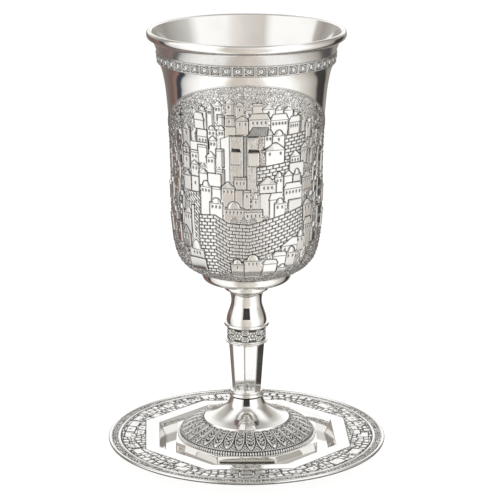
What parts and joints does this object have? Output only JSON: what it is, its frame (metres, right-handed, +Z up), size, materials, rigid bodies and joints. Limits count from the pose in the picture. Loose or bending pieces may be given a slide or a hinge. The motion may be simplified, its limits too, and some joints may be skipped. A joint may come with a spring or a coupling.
{
  "type": "elijah cup",
  "caption": "Tall silvered ceremonial goblet with a walled hill town in relief round its bowl, standing in the well of a matching round plate.",
  "frame": {"origin": "centre of the plate's underside, on the table", "axes": "+Z up along the goblet's axis; -Y is the front of the relief, with the pair of towers; +X is to the right of the front"},
  "size_m": [0.1358, 0.1358, 0.2085],
  "materials": {
    "relief_silver": "polished silver plating, darkened in the hollows of the relief, with a stippled ground",
    "polished_silver": "mirror-polished silver plating, darkened in the frieze",
    "foot_silver": "mirror-polished neck and base, darkened between the leaves of the dome",
    "plate_silver": "mirror-polished ledge and well, darkened relief and stippled band"
  },
  "bodies": {
    "root": {"bowl": "relief_silver", "stem": "polished_silver", "foot": "foot_silver", "plate": "plate_silver"}
  },
  "joints": []
}
